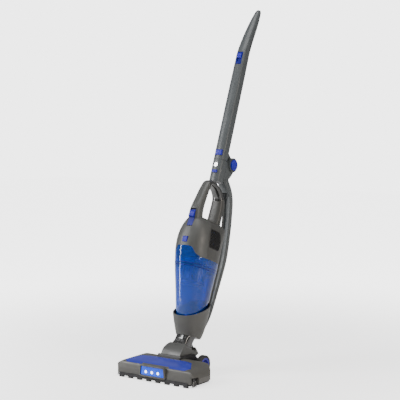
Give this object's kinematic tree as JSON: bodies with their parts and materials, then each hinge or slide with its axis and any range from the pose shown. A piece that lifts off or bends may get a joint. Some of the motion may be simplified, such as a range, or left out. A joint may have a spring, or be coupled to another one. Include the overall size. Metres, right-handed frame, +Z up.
{
  "type": "cordless stick vacuum",
  "caption": "Upright cordless stick vacuum with a lit floor head, tilting and swinging neck, folding handle and a lift-out hand vacuum with a clear dust cup.",
  "frame": {"origin": "middle of the bounding box in X and Y, on the floor that the wheels and front strip stand on", "axes": "+Z up, -Y towards the front of the floor head, X across"},
  "size_m": [0.2736, 0.5513, 1.0483],
  "materials": {
    "body_grey": "fine-grained moulded plastic",
    "tube_grey": "satin moulded plastic",
    "dark": "moulded plastic",
    "gloss_dark": "polished plastic",
    "blue": "satin coloured plastic",
    "cup_blue": "clear tinted plastic",
    "window_blue": "clear tinted plastic",
    "lens_blue": "lit lamp lens",
    "rubber": "moulded rubber",
    "tyre": "soft tyre",
    "steel": "turned steel",
    "chrome": "bright plate",
    "brass": "turned brass",
    "bristle": "nylon tufts",
    "filter": "pleated filter cloth",
    "board": "circuit board",
    "cell": "sleeved cells"
  },
  "bodies": {
    "floor_head": {"head_shell": "body_grey", "head_window": "window_blue", "lamp_bezel": "body_grey", "lamp_lens": "lens_blue", "lamp_board": "board", "sole_plate": "dark", "front_strip": "rubber", "rear_squeegee": "rubber", "sole_screws": "steel", "head_brackets": "dark", "brush_motor": "steel", "drive_belt": "rubber", "side_tufts": "bristle", "pivot_cradle": "dark", "wheel_axles": "steel"},
    "brush_roll": {"brush_core": "blue", "brush_bristles": "bristle", "brush_shaft": "steel"},
    "motor_shaft": {"motor_pulley": "brass"},
    "wheel_right": {"wheel_hub_r": "blue", "wheel_tyre_r": "tyre"},
    "wheel_left": {"wheel_hub_l": "blue", "wheel_tyre_l": "tyre"},
    "neck_yoke": {"tilt_drum": "body_grey", "neck_pins": "steel"},
    "stick_frame": {"neck_elbow": "gloss_dark", "frame_collar": "body_grey", "frame_spine": "body_grey", "frame_column": "body_grey", "column_badge": "chrome", "hinge_caps": "blue", "hinge_pin": "steel", "frame_seal": "rubber"},
    "dock_button": {"dock_button": "blue"},
    "handle": {"handle_front": "tube_grey", "handle_rear": "tube_grey", "grip_pad": "rubber", "switch_plate": "blue", "handle_screws": "steel"},
    "fold_button": {"fold_button": "blue"},
    "handle_switch": {"handle_switch": "blue"},
    "hand_vacuum": {"hand_front": "body_grey", "hand_rear": "body_grey", "hand_strut": "gloss_dark", "vent_screens": "dark", "fan_motor": "steel", "fan_mount": "dark", "battery_cells": "cell", "control_board": "board", "power_plate": "blue"},
    "fan_wheel": {"fan_wheel": "dark"},
    "cup_button": {"cup_button": "blue"},
    "power_switch": {"power_switch": "blue"},
    "dust_cup": {"cup_shell": "cup_blue", "cup_duct": "cup_blue", "filter_cage": "blue", "filter_pleats": "filter", "filter_cap": "dark", "cup_gasket": "rubber"},
    "cup_flap": {"cup_flap": "rubber"}
  },
  "joints": [
    {"name": "neck_tilt", "type": "hinge", "parent": "floor_head", "child": "neck_yoke", "pos_m": [0, -0.14474, 0.038], "axis": [-1, 0, 0], "range_deg": [-21, 50]},
    {"name": "neck_swing", "type": "hinge", "parent": "neck_yoke", "child": "stick_frame", "pos_m": [0, -0.13672, 0.07197], "axis": [0, 0.9336, -0.3584], "range_deg": [-30, 30]},
    {"name": "wheel_right_spin", "type": "hinge", "parent": "floor_head", "child": "wheel_right", "pos_m": [0.06, -0.11474, 0.027], "axis": [1, 0, 0], "continuous": true},
    {"name": "wheel_left_spin", "type": "hinge", "parent": "floor_head", "child": "wheel_left", "pos_m": [-0.06, -0.11474, 0.027], "axis": [1, 0, 0], "continuous": true},
    {"name": "brush_spin", "type": "hinge", "parent": "floor_head", "child": "brush_roll", "pos_m": [0, -0.23674, 0.0226], "axis": [1, 0, 0], "continuous": true},
    {"name": "motor_spin", "type": "hinge", "parent": "floor_head", "child": "motor_shaft", "pos_m": [0.095, -0.19474, 0.027], "axis": [1, 0, 0], "continuous": true},
    {"name": "handle_fold", "type": "hinge", "parent": "stick_frame", "child": "handle", "pos_m": [0, 0.09815, 0.58058], "axis": [-1, 0, 0], "range_deg": [0, 160]},
    {"name": "fold_press", "type": "slide", "parent": "handle", "child": "fold_button", "axis": [0, 0.9336, -0.3584], "range_m": [0, 0.003], "stiffness_N_per_m": 500},
    {"name": "handle_switch_slide", "type": "slide", "parent": "handle", "child": "handle_switch", "axis": [0, -0.3584, -0.9336], "range_m": [0, 0.01]},
    {"name": "dock_press", "type": "slide", "parent": "stick_frame", "child": "dock_button", "axis": [0, 0.9336, -0.3584], "range_m": [0, 0.003], "stiffness_N_per_m": 500},
    {"name": "hand_tilt_out", "type": "hinge", "parent": "stick_frame", "child": "hand_vacuum", "pos_m": [0, -0.14619, 0.16451], "axis": [1, 0, 0], "range_deg": [0, 25]},
    {"name": "fan_spin", "type": "hinge", "parent": "hand_vacuum", "child": "fan_wheel", "pos_m": [0, -0.04558, 0.35404], "axis": [0, 0.3584, 0.9336], "continuous": true},
    {"name": "cup_press", "type": "slide", "parent": "hand_vacuum", "child": "cup_button", "axis": [0, 0.9336, -0.3584], "range_m": [0, 0.003], "stiffness_N_per_m": 500},
    {"name": "power_slide", "type": "slide", "parent": "hand_vacuum", "child": "power_switch", "axis": [0, -0.4897, -0.8719], "range_m": [0, 0.012]},
    {"name": "cup_drop", "type": "slide", "parent": "hand_vacuum", "child": "dust_cup", "axis": [0, -0.3584, -0.9336], "range_m": [0, 0.002]},
    {"name": "flap_swing", "type": "hinge", "parent": "dust_cup", "child": "cup_flap", "pos_m": [0, -0.07561, 0.15391], "axis": [-1, 0, 0], "range_deg": [0, 55]}
  ],
  "couplings": [
    {"joint": "motor_spin", "follows": "brush_spin", "ratio": 1.75}
  ]
}
